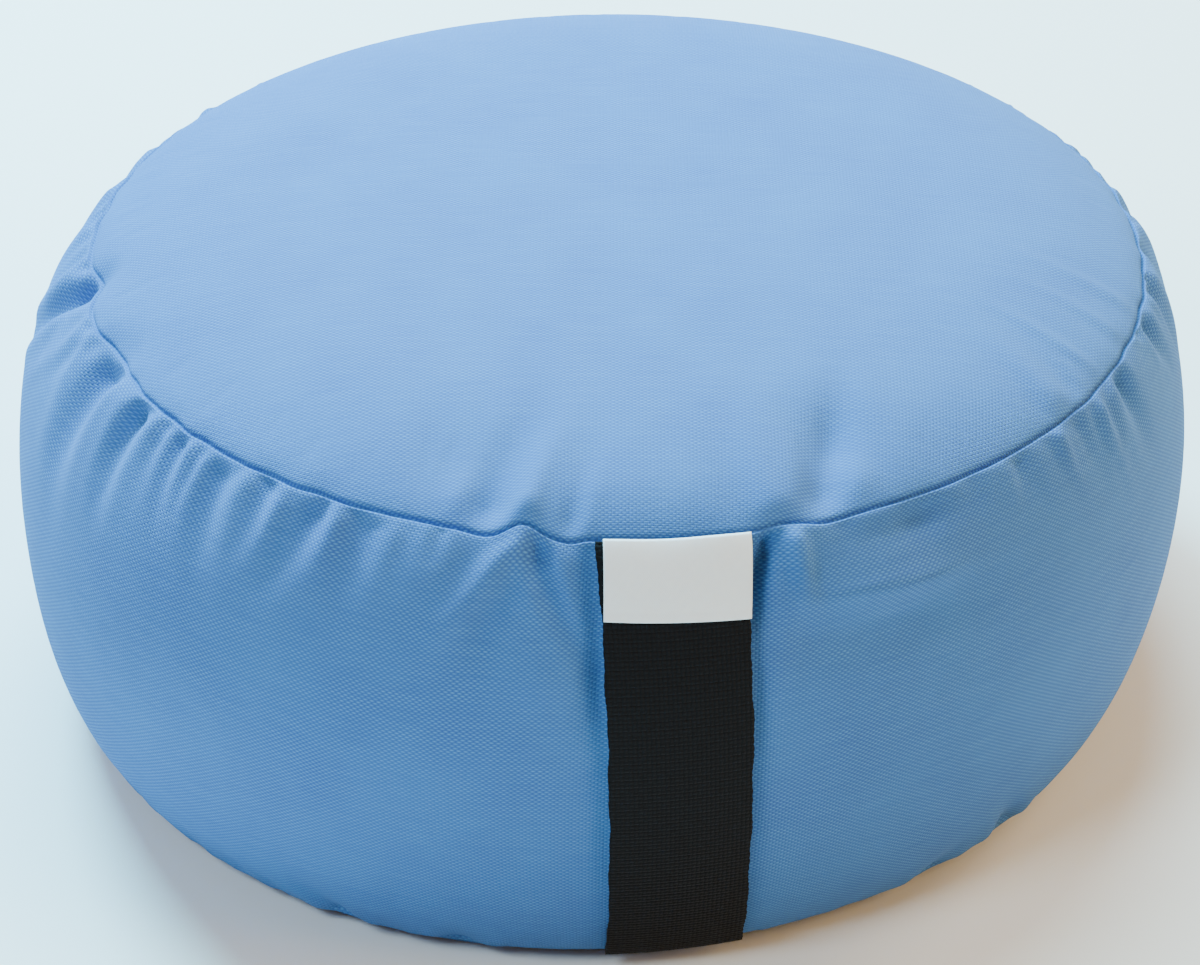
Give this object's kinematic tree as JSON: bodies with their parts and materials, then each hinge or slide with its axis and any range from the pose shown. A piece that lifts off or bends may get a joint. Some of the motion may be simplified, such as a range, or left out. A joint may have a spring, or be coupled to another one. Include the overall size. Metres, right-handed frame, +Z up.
{
  "type": "zafu meditation cushion",
  "caption": "Round, low, firmly stuffed floor cushion in sky-blue canvas, with a gathered side band, a black webbing handle and a plain white satin label.",
  "frame": {"origin": "centre of the flat base, on the surface the cushion rests on", "axes": "+Z up through the dome, -Y towards the handle, +X to the right of the handle seen from the front"},
  "size_m": [0.3445, 0.3407, 0.1543],
  "materials": {
    "canvas": "matt plain-weave cotton, sky blue",
    "webbing": "matt ribbed woven webbing, black",
    "satin": "soft sheen satin ribbon, white"
  },
  "bodies": {
    "root": {"cushion": "canvas", "handle": "webbing", "label": "satin"}
  },
  "joints": []
}
